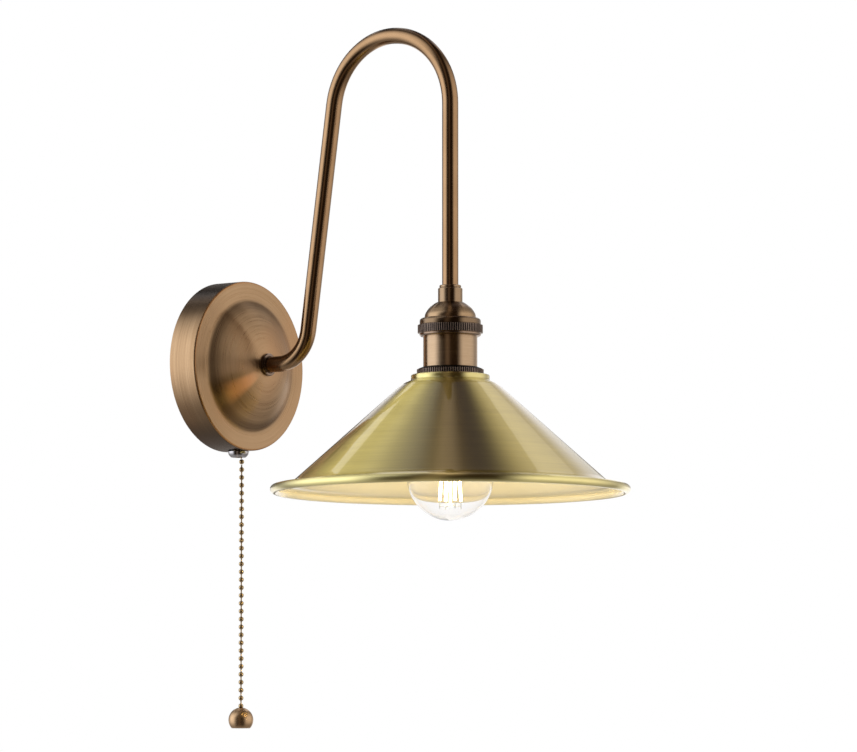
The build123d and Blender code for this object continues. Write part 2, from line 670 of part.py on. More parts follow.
with BuildPart() as holder_cap:
    with BuildSketch(holder):
        with BuildLine():
            d0 = (8.6, bush_bottom_z)
            Line((5.0, bush_bottom_z), d0)
            Spline(d0, dome_pt(11.5), dome_pt(14.7), dome_pt(16.6), (17.68, 23.1), tangents=[(1, -0.12), (0, -1)])
            Line((17.68, 23.1), (18.6, 23.0))
            ThreePointArc((18.6, 23.0), (20.4, 22.4), (21.1, 20.7))
            Polyline((21.1, 20.7), (21.1, 18.7), (20.3, 18.7), (20.3, 20.6))
            ThreePointArc((20.3, 20.6), (19.75, 21.75), (18.5, 22.1))
            Line((18.5, 22.1), (16.9, 22.1))
            Spline((16.9, 22.1), dome_pt(15.8, 0.8), dome_pt(14.0, 0.8), dome_pt(11.2, 0.8), (8.4, bush_bottom_z - 0.8), tangents=[(0, 1), (-1, 0.12)])
            Polyline((8.4, bush_bottom_z - 0.8), (5.0, bush_bottom_z - 0.8), (5.0, bush_bottom_z))
        make_face()
    revolve(axis=holder_axis)
holder_cap.part.label = "holder_cap"
export_step(holder_cap.part, "parts/holder_cap.step")

with BuildPart() as holder_locknut:
    with BuildSketch(Plane.XY.offset(bush_bottom_z - 0.8 - 3.0)):
        with Locations((0, holder_y)):
            RegularPolygon(7.0, 6, major_radius=False)
            Circle(thread_r, mode=Mode.SUBTRACT)
    extrude(amount=3.0)
holder_locknut.part.label = "holder_locknut"
export_step(holder_locknut.part, "parts/holder_locknut.step")


def teeth(r_out, r_in, n):
    """Closed outline of a straight knurl around the lampholder's axis, in the XY plane."""
    pts = []
    for k in range(n):
        for f, rr in ((0.0, r_in), (0.26, r_out), (0.62, r_out), (0.88, r_in)):
            b = 2 * pi * (k + f) / n
            pts.append((rr * cos(b), holder_y + rr * sin(b)))
    return pts


# Knurled ring that clamps cap to skirt, with a plain rolled bead below the knurl.
with BuildPart() as holder_cap_ring:
    with BuildSketch(holder):
        with BuildLine():
            Polyline((skirt_r + 0.03, 18.6), (21.0, 18.6), (21.85, 18.3), (21.85, 12.6), (21.2, 12.3), (21.2, 11.9))
            ThreePointArc((21.2, 11.9), (20.9, 10.9), (19.7, 10.4))
            Polyline((19.7, 10.4), (skirt_r + 0.03, 10.4), (skirt_r + 0.03, 18.6))
        make_face()
    revolve(axis=holder_axis)
    with BuildSketch(Plane.XY.offset(12.75)):
        with BuildLine():
            Polyline(*teeth(22.45, 21.75, ring_teeth), close=True)
        make_face()
        with Locations((0, holder_y)):
            Circle(20.0, mode=Mode.SUBTRACT)
    extrude(amount=5.4)
holder_cap_ring.part.label = "holder_cap_ring"
export_step(holder_cap_ring.part, "parts/holder_cap_ring.step")

# Skirt: plain above, rolled thread below for the two shade rings.
skirt_pts = [(skirt_ri, 18.5), (skirt_r, 18.5), (skirt_r, -11.0)]
tz = -11.5
while tz > -37.5:
    skirt_pts += [(skirt_r, tz), (skirt_r, tz - 0.7), (18.15, tz - 1.2), (18.15, tz - 1.5)]
    tz -= 2.0
skirt_pts += [(skirt_r, tz), (skirt_r, skirt_bottom_z + 0.4), (18.3, skirt_bottom_z), (skirt_ri, skirt_bottom_z)]
with BuildPart() as holder_skirt:
    with BuildSketch(holder):
        with BuildLine():
            Polyline(*skirt_pts, close=True)
        make_face()
    revolve(axis=holder_axis)
holder_skirt.part.label = "holder_skirt"
export_step(holder_skirt.part, "parts/holder_skirt.step")

# Ceramic core with a raised terminal island.
with BuildPart() as holder_core:
    with BuildSketch(holder):
        with BuildLine():
            Polyline((0, -6.0), (13.0, -6.0), (13.0, -7.5), (17.2, -7.5), (17.2, 4.0), (16.0, 5.5), (4.0, 5.5), (3.4, 9.5), (0, 9.5), close=True)
        make_face()
    revolve(axis=holder_axis)
    with BuildSketch(Plane.XY.offset(-7)):
        with Locations((-8, holder_y), (8, holder_y)):
            Circle(1.0)
    extrude(amount=16, mode=Mode.SUBTRACT)
holder_core.part.label = "holder_core"
export_step(holder_core.part, "parts/holder_core.step")

with BuildPart() as holder_clamps:
    with BuildSketch(Plane.XY.offset(5.5)):
        with Locations((-8, holder_y), (8, holder_y)):
            Rectangle(5.0, 6.5)
    extrude(amount=6.5)
    with BuildSketch(Plane.XY.offset(8.5)):
        with Locations((-8, holder_y), (8, holder_y)):
            Circle(1.15)
    extrude(amount=4, mode=Mode.SUBTRACT)
    with BuildSketch(Plane.XZ.offset(-holder_y)):
        with Locations((-8, 9.4), (8, 9.4)):
            Circle(1.0)
    extrude(amount=6, mode=Mode.SUBTRACT)
holder_clamps.part.label = "holder_clamps"
export_step(holder_clamps.part, "parts/holder_clamps.step")

with BuildPart() as holder_clamp_screws:
    with BuildSketch(Plane.XZ.offset(-holder_y + 1.25)):
        with Locations((-8, 9.4), (8, 9.4)):
            Circle(0.98)
    extrude(amount=3.2)
    with BuildSketch(Plane.XZ.offset(-holder_y + 3.3)):
        with Locations((-8, 9.4), (8, 9.4)):
            Circle(1.7)
    extrude(amount=1.2)
    with BuildSketch(Plane.XZ.offset(-holder_y + 4.0)):
        with Locations((-8, 9.4), (8, 9.4)):
            Rectangle(4, 0.5)
    extrude(amount=1, mode=Mode.SUBTRACT)
holder_clamp_screws.part.label = "holder_clamp_screws"
export_step(holder_clamp_screws.part, "parts/holder_clamp_screws.step")

# Threaded shell that takes the lamp cap: rolled ridges in thin sheet, flange under the ceramic core.
shell_out, shell_in = [], []
sz = -10.5
while sz > -32.0:
    shell_out += [(14.75, sz), (14.15, sz - 1.8)]
    shell_in += [(14.35, sz), (13.75, sz - 1.8)]
    sz -= 3.6
with BuildPart() as holder_thread_shell:
    with BuildSketch(holder):
        with BuildLine():
            Polyline((13.0, -7.5), (16.6, -7.5), (16.6, -8.1), *shell_out, (14.75, -33.0), (14.35, -33.0), *reversed(shell_in), (14.0, -8.1), (13.0, -8.1), close=True)
        make_face()
    revolve(axis=holder_axis)
holder_thread_shell.part.label = "holder_thread_shell"
export_step(holder_thread_shell.part, "parts/holder_thread_shell.step")

# Sprung tongue that meets the lamp's tip.
with BuildPart() as holder_centre_contact:
    with BuildSketch(holder):
        with BuildLine():
            Polyline((-8.0, -6.0), (-8.0, -6.5), (-5.2, -6.5), (2.6, -10.6), (3.6, -10.3), (3.6, -9.8), (2.8, -10.0), (-5.0, -6.0), close=True)
        make_face()
    extrude(amount=2.5, both=True)
holder_centre_contact.part.label = "holder_centre_contact"
export_step(holder_centre_contact.part, "parts/holder_centre_contact.step")

# ================================================================ shade
with BuildPart() as shade_ring_upper:
    with BuildSketch(holder):
        with BuildLine():
            Polyline((skirt_r + 0.03, -10.9), (19.2, -10.9), (22.0, -12.0), (22.5, -12.5), (22.5, -15.8), (22.2, -16.1), (skirt_r + 0.03, -16.1), close=True)
        make_face()
    revolve(axis=holder_axis)
    with BuildSketch(Plane.XY.offset(-15.75)):
        with BuildLine():
            Polyline(*teeth(23.05, 22.4, ring_teeth), close=True)
        make_face()
        with Locations((0, holder_y)):
            Circle(20.0, mode=Mode.SUBTRACT)
    extrude(amount=3.2)
shade_ring_upper.part.label = "shade_ring_upper"
export_step(shade_ring_upper.part, "parts/shade_ring_upper.step")

# Cone with a flat clamping collar, a short flared brim and a rolled rim.
cone_t, cone_b = (35.6, -25.0), (106.1, -87.83)
cl = hypot(cone_b[0] - cone_t[0], cone_b[1] - cone_t[1])
cnx, cnz = (cone_b[1] - cone_t[1]) / cl, -(cone_b[0] - cone_t[0]) / cl   # inward and down
s = shade_sheet
with BuildPart() as shade:
    with BuildSketch(holder):
        with BuildLine():
            Line((skirt_r + 0.05, shade_top_z), (25.9, shade_top_z))
            ThreePointArc((25.9, shade_top_z), (26.75, shade_top_z - 0.35), (27.1, shade_top_z - 1.2))
            Line((27.1, shade_top_z - 1.2), (27.1, -19.0))
            Bezier((27.1, -19.0), (27.1, -20.2), (27.8, -20.5), (29.6, -21.2))
            Bezier((29.6, -21.2), (32.6, -22.4), (34.0, -23.57), cone_t)
            Line(cone_t, cone_b)
            Bezier(cone_b, (108.5, -89.97), (110.3, -91.1), (113.1, -91.75))
            Line((113.1, -91.75), (120.3, -93.25))
            Line((120.3, -93.25), (120.1, -94.25))
            Line((120.1, -94.25), (112.7, -92.7))
            Bezier((112.7, -92.7), (109.6, -91.95), (107.8, -90.6), (cone_b[0] + cnx * s, cone_b[1] + cnz * s))
            Line((cone_b[0] + cnx * s, cone_b[1] + cnz * s), (cone_t[0] + cnx * s, cone_t[1] + cnz * s))
            Bezier((cone_t[0] + cnx * s, cone_t[1] + cnz * s), (33.2, -24.3), (32.0, -23.3), (29.2, -22.2))
            Bezier((29.2, -22.2), (27.1, -21.4), (26.1, -20.6), (26.1, -19.0))
            Line((26.1, -19.0), (26.1, shade_top_z - 1.4))
            ThreePointArc((26.1, shade_top_z - 1.4), (25.98, shade_top_z - 1.12), (25.7, shade_top_z - 1.0))
            Polyline((25.7, shade_top_z - 1.0), (skirt_r + 0.05, shade_top_z - 1.0), (skirt_r + 0.05, shade_top_z))
        make_face()
        with Locations((shade_rim_r - bead_r, bead_z)):
            Circle(bead_r)
    revolve(axis=holder_axis)
shade.part.label = "shade"
export_step(shade.part, "parts/shade.step")

# Lower ring, screwed up under the shade; it turns freely on the skirt's thread.
with BuildPart() as shade_ring_lower:
    with BuildSketch(holder):
        with BuildLine():
            Polyline((skirt_r + 0.06, -17.2), (22.6, -17.2), (22.9, -17.5), (22.9, -21.3), (22.2, -22.0), (skirt_r + 0.06, -22.0), close=True)
        make_face()
    revolve(axis=holder_axis)
    with BuildSketch(Plane.XY.offset(-21.2)):
        with BuildLine():
            Polyline(*teeth(23.4, 22.85, ring_teeth), close=True)
        make_face()
        with Locations((0, holder_y)):
            Circle(20.0, mode=Mode.SUBTRACT)
    extrude(amount=3.6)
shade_ring_lower.part.label = "shade_ring_lower"
export_step(shade_ring_lower.part, "parts/shade_ring_lower.step")

# ================================================================ lamp
ga = radians(33)
gx, gz = lamp_r * cos(ga), lamp_z + lamp_r * sin(ga)
hx, hz = (lamp_r - glass_t) * cos(ga), lamp_z + (lamp_r - glass_t) * sin(ga)
with BuildPart() as lamp_glass:
    with BuildSketch(holder):
        with BuildLine():
            ThreePointArc((0, lamp_z - lamp_r), (lamp_r * cos(radians(-30)), lamp_z + lamp_r * sin(radians(-30))), (gx, gz))
            Bezier((gx, gz), (gx - 13.0 * sin(ga), gz + 13.0 * cos(ga)), (14.0, -50.0), (13.0, -40.2))
            ThreePointArc((13.0, -40.2), (12.7, -38.9), (12.2, -38.3))
            Polyline((12.2, -38.3), (12.2, -34.0), (11.5, -34.0), (11.5, -38.5))
            ThreePointArc((11.5, -38.5), (12.0, -39.3), (12.3, -40.4))
            Bezier((12.3, -40.4), (13.3, -50.3), (hx - 13.0 * sin(ga), hz + 13.0 * cos(ga)), (hx, hz))
            ThreePointArc((hx, hz), ((lamp_r - glass_t) * cos(radians(-30)), lamp_z + (lamp_r - glass_t) * sin(radians(-30))), (0, lamp_z - lamp_r + glass_t))
            Line((0, lamp_z - lamp_r + glass_t), (0, lamp_z - lamp_r))
        make_face()
    revolve(axis=holder_axis)
lamp_glass.part.label = "lamp_glass"
export_step(lamp_glass.part, "parts/lamp_glass.step")

cap_out, cap_in = [], []
sz = -15.6
while sz > -32.0:
    cap_out += [(13.1, sz), (12.4, sz - 1.8)]
    cap_in += [(12.75, sz), (12.25, sz - 1.8)]
    sz -= 3.6
with BuildPart() as lamp_cap:
    with BuildSketch(holder):
        with BuildLine():
            Polyline((10.2, -13.6), (12.3, -13.6), *cap_out, (12.9, -35.0), (13.4, -37.6), (13.1, -37.9), (12.25, -34.6), *reversed(cap_in), (12.0, -14.1), (10.2, -14.1), close=True)
        make_face()
    revolve(axis=holder_axis)
lamp_cap.part.label = "lamp_cap"
export_step(lamp_cap.part, "parts/lamp_cap.step")

with BuildPart() as lamp_cap_insulator:
    with BuildSketch(holder):
        with BuildLine():
            Polyline((4.6, -12.2), (6.0, -12.0), (10.1, -13.2), (10.1, -15.0), (4.6, -15.0), close=True)
        make_face()
    revolve(axis=holder_axis)
lamp_cap_insulator.part.label = "lamp_cap_insulator"
export_step(lamp_cap_insulator.part, "parts/lamp_cap_insulator.step")

with BuildPart() as lamp_tip:
    with BuildSketch(holder):
        with BuildLine():
            Line((0, -14.0), (0, -11.1))
            ThreePointArc((0, -11.1), (3.0, -11.5), (4.55, -12.4))
            Polyline((4.55, -12.4), (4.55, -14.0), (0, -14.0))
        make_face()
    revolve(axis=holder_axis)
lamp_tip.part.label = "lamp_tip"
export_step(lamp_tip.part, "parts/lamp_tip.step")

with BuildPart() as lamp_driver:
    with BuildSketch(Plane.XY.offset(-30.0)):
        with Locations((0, holder_y)):
            Rectangle(1.2, 19.0)
    extrude(amount=13.5)
    with BuildSketch(Plane.YZ.offset(0.6)):
        with Locations((holder_y - 3.5, -24)):
            Rectangle(6.5, 6.5)
        with Locations((holder_y + 5, -22)):
            Circle(2.4)
    extrude(amount=5.0)
lamp_driver.part.label = "lamp_driver"
export_step(lamp_driver.part, "parts/lamp_driver.step")

# Glass mount: flare sealed to the neck, pinched stem, thin post down the middle of the filaments.
with BuildPart() as lamp_stem:
    with BuildSketch(holder):
        with BuildLine():
            Line((0, -42.0), (8.0, -38.0))
            Line((8.0, -38.0), (11.3, -35.0))
            Line((11.3, -35.0), (11.3, -36.2))
            Bezier((11.3, -36.2), (7.0, -41.0), (4.2, -45.0), (3.4, -56.0))
            Bezier((3.4, -56.0), (3.2, -59.5), (1.5, -60.5), (1.1, -63.0))
            Polyline((1.1, -63.0), (1.1, -104.4))
            Bezier((1.1, -104.4), (2.3, -105.0), (2.3, -107.0), (0.0, -107.4))
            Line((0.0, -107.4), (0, -42.0))
        make_face()
    revolve(axis=holder_axis)
lamp_stem.part.label = "lamp_stem"
export_step(lamp_stem.part, "parts/lamp_stem.step")

# Four filament sticks standing around the post, a little wider at the bottom.
fil_top_r, fil_bot_r, fil_z0, fil_z1 = 5.6, 8.0, -67.0, -103.0
fil_dirs = [radians(a) for a in (62, 152, 242, 332)]
with BuildPart() as lamp_filaments:
    for fa in fil_dirs:
        p0 = Vector(fil_top_r * cos(fa), holder_y + fil_top_r * sin(fa), fil_z0)
        p1 = Vector(fil_bot_r * cos(fa), holder_y + fil_bot_r * sin(fa), fil_z1)
        with BuildSketch(Plane(origin=p0, z_dir=p1 - p0)):
            Circle(0.95)
        extrude(amount=(p1 - p0).length)
lamp_filaments.part.label = "lamp_filaments"
export_step(lamp_filaments.part, "parts/lamp_filaments.step")

with BuildPart() as lamp_wires:
    for fa in fil_dirs:
        q0 = Vector(1.2 * cos(fa), holder_y + 1.2 * sin(fa), -64.0)
        q1 = Vector((fil_top_r - 0.3) * cos(fa), holder_y + (fil_top_r - 0.3) * sin(fa), fil_z0 + 0.52)
        with BuildSketch(Plane(origin=q0, z_dir=q1 - q0)):
            Circle(0.3)
        extrude(amount=(q1 - q0).length)
        # lower hook: out from the glass button, up to the stick, with a short tail below
        q2 = Vector(2.05 * cos(fa), holder_y + 2.05 * sin(fa), -106.0)
        q3 = Vector(fil_bot_r * cos(fa), holder_y + fil_bot_r * sin(fa), fil_z1 - 3.9)
        with BuildSketch(Plane(origin=q2, z_dir=q3 - q2)):
            Circle(0.3)
        extrude(amount=(q3 - q2).length)
        with BuildSketch(Plane.XY.offset(fil_z1 - 5.6)):
            with Locations((fil_bot_r * cos(fa), holder_y + fil_bot_r * sin(fa))):
                Circle(0.32)
        extrude(amount=5.4)
lamp_wires.part.label = "lamp_wires"
export_step(lamp_wires.part, "parts/lamp_wires.step")

print("arch centre", round(c2y, 2), round(c2z, 2), "arch top", round(c2z + arch_r + tube_r, 2))
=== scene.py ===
import math

import bmesh
import bpy
from mathutils import Matrix, Vector


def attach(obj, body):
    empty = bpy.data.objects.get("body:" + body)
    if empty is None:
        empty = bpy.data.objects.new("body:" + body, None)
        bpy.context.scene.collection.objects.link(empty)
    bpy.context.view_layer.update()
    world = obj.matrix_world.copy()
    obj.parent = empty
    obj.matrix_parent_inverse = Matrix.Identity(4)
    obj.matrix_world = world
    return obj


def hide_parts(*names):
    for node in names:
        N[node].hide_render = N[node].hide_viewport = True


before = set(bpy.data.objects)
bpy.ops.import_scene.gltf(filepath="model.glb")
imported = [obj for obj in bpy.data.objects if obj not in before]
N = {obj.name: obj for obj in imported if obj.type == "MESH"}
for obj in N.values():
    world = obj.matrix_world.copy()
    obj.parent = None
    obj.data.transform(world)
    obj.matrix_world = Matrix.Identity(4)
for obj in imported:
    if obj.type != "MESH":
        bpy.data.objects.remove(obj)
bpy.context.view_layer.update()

scene = bpy.context.scene
MM = 0.001
HY = -0.2027          # axis of the lampholder, shade and lamp

# ------------------------------------------------------------------ camera
FORWARD = Vector((0.7849, 0.6132, 0.0889)).normalized()
CAM_RIGHT = Vector((0.6157, -0.7880, 0.0)).normalized()
CAM_UP = CAM_RIGHT.cross(FORWARD).normalized()
cam_data = bpy.data.cameras.new("camera")
cam = bpy.data.objects.new("camera", cam_data)
scene.collection.objects.link(cam)
cam.location = Vector((-3.061, -2.576, -0.362)) - CAM_RIGHT * 0.0005 - CAM_UP * 0.0006
cam.rotation_euler = Matrix((CAM_RIGHT, CAM_UP, -FORWARD)).transposed().to_euler()
cam_data.sensor_width = 36.0
cam_data.lens = 36.0 * 5650.0 / 857.0
cam_data.clip_start = 0.05
cam_data.clip_end = 50.0
scene.camera = cam

scene.view_settings.view_transform = "Standard"
scene.view_settings.look = "None"
scene.view_settings.exposure = 0.0
scene.view_settings.gamma = 1.0


# ------------------------------------------------------------------ node helpers
class Graph:
    """Short names for building shader nodes."""

    def __init__(self, tree):
        self.t = tree
        self.t.nodes.clear()

    def put(self, sock, value):
        if value is None:
            return
        if isinstance(value, bpy.types.NodeSocket):
            self.t.links.new(value, sock)
        elif hasattr(sock, "default_value"):
            if hasattr(value, "__len__") and len(value) == 3 and sock.type == "RGBA":
                value = (*value, 1.0)
            sock.default_value = value

    def node(self, kind, ins=(), out=0, **props):
        n = self.t.nodes.new(kind)
        for k, v in props.items():
            setattr(n, k, v)
        items = ins.items() if isinstance(ins, dict) else enumerate(ins)
        for k, v in items:
            self.put(n.inputs[k], v)
        return n.outputs[out] if out is not None else n

    def m(self, op, a, b=None, c=None, clamp=False):
        return self.node("ShaderNodeMath", [a, b, c], operation=op, use_clamp=clamp)

    def vm(self, op, a, b=None, out=0):
        return self.node("ShaderNodeVectorMath", [a, b], out=out, operation=op)

    def dot(self, a, b):
        return self.vm("DOT_PRODUCT", a, b, out="Value")

    def ramp(self, v, lo, hi, a=0.0, b=1.0, kind="SMOOTHSTEP"):
        return self.node("ShaderNodeMapRange", {"Value": v, "From Min": lo, "From Max": hi, "To Min": a, "To Max": b}, interpolation_type=kind)

    def mix(self, f, a, b, mode="MIX", clamp=False):
        n = self.node("ShaderNodeMix", {0: f, 6: a, 7: b}, out=None, data_type="RGBA", blend_type=mode, clamp_result=clamp)
        return n.outputs[2]

    def mixf(self, f, a, b):
        n = self.node("ShaderNodeMix", {0: f, 2: a, 3: b}, out=None, data_type="FLOAT")
        return n.outputs[0]

    def noise(self, vec, scale, detail=2.0, rough=0.5, distortion=0.0, dim="3D", out="Factor"):
        n = self.node("ShaderNodeTexNoise", out=None, noise_dimensions=dim)
        self.put(n.inputs["Vector"], vec)
        self.put(n.inputs["Scale"], scale)
        self.put(n.inputs["Detail"], detail)
        self.put(n.inputs["Roughness"], rough)
        self.put(n.inputs["Distortion"], distortion)
        return n.outputs[0] if out == "Factor" else n.outputs[1]

    def xyz(self, v):
        n = self.node("ShaderNodeSeparateXYZ", [v], out=None)
        return n.outputs[0], n.outputs[1], n.outputs[2]

    def vec(self, x, y, z):
        return self.node("ShaderNodeCombineXYZ", [x, y, z])


# ------------------------------------------------------------------ studio
def build_world():
    """Pure white where the camera looks past the object; a dark room with two tall soft boxes for what reflects and lights it.

    Places in the room are named by how a mirror would have to be turned to show them to somebody standing in front of the
    object: phi is its turn to the right, beta its tilt upwards, in degrees."""
    world = bpy.data.worlds.new("studio")
    scene.world = world
    world.use_nodes = True
    g = Graph(world.node_tree)
    d = g.node("ShaderNodeTexCoord", out="Generated")
    half = g.vm("NORMALIZE", g.vm("ADD", d, (-0.7849, -0.6132, -0.0889)))
    right = g.dot(half, tuple(CAM_RIGHT))
    toward = g.dot(half, (-0.7880, -0.6157, 0.0))
    phi = g.m("MULTIPLY", g.m("ARCTAN2", right, toward), 180.0 / math.pi)
    beta = g.m("MULTIPLY", g.m("ARCSINE", g.xyz(half)[2]), 180.0 / math.pi)

    def patch(a0, a1, b0, b1, soft_a, soft_b):
        m = g.m("MULTIPLY", g.ramp(phi, a0 - soft_a, a0 + soft_a), g.ramp(phi, a1 + soft_a, a1 - soft_a))
        m = g.m("MULTIPLY", m, g.ramp(beta, b0 - soft_b, b0 + soft_b))
        return g.m("MULTIPLY", m, g.ramp(beta, b1 + soft_b, b1 - soft_b))

    def total(*parts):
        t = parts[0]
        for q in parts[1:]:
            t = g.m("ADD", t, q)
        return t

    left = g.m("MULTIPLY", g.ramp(g.m("SUBTRACT", phi, g.ramp(beta, 5.0, 28.0, 0.0, 15.5)), -20.5, -38.0), g.ramp(g.m("SUBTRACT", phi, g.ramp(beta, 8.0, 32.0, -1.0, 0.0)), -73.0, -48.0, 0.07, 1.0))
    rite = g.m("MULTIPLY", g.ramp(g.m("SUBTRACT", phi, g.ramp(beta, 6.0, 30.0, 0.0, 2.0)), 14.0, 29.0), g.ramp(phi, 48.0, 70.0, 1.0, 0.42))
    band = g.m("MULTIPLY", g.ramp(beta, 42.5, 46.0), g.ramp(beta, 55.0, 51.5))
    tall = g.m("MULTIPLY", g.ramp(beta, -40.0, 0.0, 0.10, 1.0), g.ramp(beta, 46.0, 6.0, 0.012, 1.0))
    left = g.m("MULTIPLY", left, g.m("ADD", tall, g.m("MULTIPLY", band, 0.095)))
    rite = g.m("MULTIPLY", rite, g.m("ADD", tall, g.m("MULTIPLY", band, 0.29)))
    # two pale reflectors overhead, behind the boxes
    over = total(g.m("MULTIPLY", patch(-35.0, -10.0, 43.5, 53.5, 6.0, 1.5), 0.52), g.m("MULTIPLY", patch(29.0, 50.0, 43.5, 53.5, 3.0, 1.5), 0.18),
                 g.m("MULTIPLY", patch(26.0, 62.0, 58.0, 76.0, 4.0, 3.0), 0.55), g.m("MULTIPLY", patch(-29.0, -1.0, 57.0, 76.0, 4.0, 3.0), 1.05))
    # a crisp panel on the right and a narrow one on the left, which only clear lacquer mirrors sharply
    crisp = total(g.m("MULTIPLY", patch(34.5, 53.0, 40.0, 56.0, 0.4, 3.0), g.ramp(phi, 36.0, 50.0, 0.95, 0.45)), g.m("MULTIPLY", patch(-53.5, -46.0, 38.0, 56.0, 0.4, 3.0), 1.0))
    # bright paper far behind, seen only at grazing angles
    away = g.m("ABSOLUTE", phi)
    edge = g.m("ADD", g.m("MULTIPLY", g.ramp(phi, -55.0, -72.0, 0.0, 1.25), band),
               g.m("MULTIPLY", g.ramp(phi, 50.0, 68.0, 0.0, 1.0), g.m("MULTIPLY", g.ramp(beta, 34.0, 42.0), g.ramp(beta, 70.0, 58.0))))
    floor = g.m("MULTIPLY", g.m("MULTIPLY", g.ramp(beta, -26.0, -42.0), g.ramp(beta, -88.0, -60.0, 0.2, 1.0)), g.ramp(away, 24.0, 40.0, 0.30, 0.20))
    floor = g.m("ADD", floor, g.m("MULTIPLY", g.m("MULTIPLY", g.ramp(beta, -64.0, -74.0), g.ramp(phi, -26.0, -10.0)), 0.85))
    graze = g.m("MULTIPLY", g.m("MULTIPLY", g.ramp(away, 64.0, 78.0), g.ramp(beta, -4.0, -12.0)), g.ramp(beta, -78.0, -60.0))
    white = g.node("ShaderNodeVectorMath", {0: (1.0, 0.985, 0.965), "Scale": total(crisp, edge, over, g.m("MULTIPLY", graze, 0.80), floor)}, operation="SCALE")
    grey = g.node("ShaderNodeVectorMath", {0: (0.24, 0.225, 0.28), "Scale": g.m("MULTIPLY", band, g.ramp(phi, -30.0, -14.0))}, operation="SCALE")
    cool = g.node("ShaderNodeVectorMath", {0: (1.70, 1.74, 1.80), "Scale": left}, operation="SCALE")
    mild = g.node("ShaderNodeVectorMath", {0: (1.12, 1.075, 1.02), "Scale": rite}, operation="SCALE")
    # dim warm strip of room between the boxes, leaning to the middle as it rises
    mid = g.m("SUBTRACT", phi, g.ramp(beta, 0.0, 30.0, -7.0, -1.5))
    gap = g.m("MULTIPLY", g.m("MULTIPLY", g.ramp(mid, -7.0, -1.0), g.ramp(mid, 7.5, 1.5)), g.ramp(beta, 28.0, 44.0, 0.15, 0.66))
    warm = g.node("ShaderNodeVectorMath", {0: (1.0, 0.80, 0.62), "Scale": gap}, operation="SCALE")
    light = (0.026, 0.016, 0.010)
    for part in (white, warm, grey, cool, mild):
        light = g.vm("ADD", part, light)
    path = g.node("ShaderNodeLightPath", out=None)
    clear = g.m("MAXIMUM", path.outputs["Is Camera Ray"], path.outputs["Is Transmission Ray"])
    back = g.node("ShaderNodeBackground", {"Color": light, "Strength": 1.0})
    page = g.node("ShaderNodeBackground", {"Color": (1.0, 1.0, 1.0), "Strength": 1.0})
    g.node("ShaderNodeOutputWorld", [g.node("ShaderNodeMixShader", [clear, back, page])], out=None)
    return world


build_world()


def build_floor():
    bm = bmesh.new()
    bmesh.ops.create_grid(bm, x_segments=1, y_segments=1, size=6.0)
    me = bpy.data.meshes.new("studio_floor")
    bm.to_mesh(me)
    bm.free()
    o = bpy.data.objects.new("studio_floor", me)
    scene.collection.objects.link(o)
    o.location = (0.0, 0.0, -0.62)
    mat = bpy.data.materials.new("studio_floor")
    mat.use_nodes = True
    g = Graph(mat.node_tree)
    under = g.node("ShaderNodeNewGeometry", out="Backfacing")
    pale = g.node("ShaderNodeBsdfDiffuse", {"Color": (0.86, 0.86, 0.86)})
    lift = g.node("ShaderNodeEmission", {"Color": (0.55, 0.55, 0.55), "Strength": 1.0})
    both = g.node("ShaderNodeAddShader", [pale, lift])
    none = g.node("ShaderNodeBsdfTransparent")
    g.node("ShaderNodeOutputMaterial", [g.node("ShaderNodeMixShader", [under, both, none])], out=None)
    o.data.materials.append(mat)
    o.visible_glossy = False
    o.visible_diffuse = False
    o.visible_transmission = False
    o.visible_shadow = False


build_floor()


def lamp_fill():
    """The lit lamp's own light on the inside of the shade."""
    ld = bpy.data.lights.new("lamp_fill", "POINT")
    ld.energy = 0.61
    ld.color = (1.0, 0.925, 0.82)
    ld.shadow_soft_size = 0.012
    lo = bpy.data.objects.new("lamp_fill", ld)
    scene.collection.objects.link(lo)
    lo.location = (0.0, HY, -0.126)
    lo.visible_camera = False
    lo.visible_glossy = False
    lo.visible_transmission = False
    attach(lo, "lamp")


lamp_fill()


# ------------------------------------------------------------------ materials
def new_mat(name):
    mat = bpy.data.materials.new(name)
    mat.use_nodes = True
    return mat, Graph(mat.node_tree)


def principled(g, **ins):
    n = g.node("ShaderNodeBsdfPrincipled", out=None)
    for k, v in ins.items():
        g.put(n.inputs[k.replace("_", " ")], v)
    g.node("ShaderNodeOutputMaterial", [n.outputs[0]], out=None)
    return n


def round_coords(g, axis, centre):
    """Radius, height along the axis, and a point that goes round slowly, for lines that run round the axis."""
    p = g.node("ShaderNodeTexCoord", out="Object")
    rel = g.vm("SUBTRACT", p, centre)
    x, y, z = g.xyz(rel)
    if axis == "Y":
        a, b, h = x, z, y
    elif axis == "X":
        a, b, h = y, z, x
    else:
        a, b, h = x, y, z
    r = g.m("SQRT", g.m("ADD", g.m("MULTIPLY", a, a), g.m("MULTIPLY", b, b)))
    safe = g.m("MAXIMUM", r, 1e-5)
    ca, sb = g.m("DIVIDE", a, safe), g.m("DIVIDE", b, safe)
    return p, r, h, ca, sb


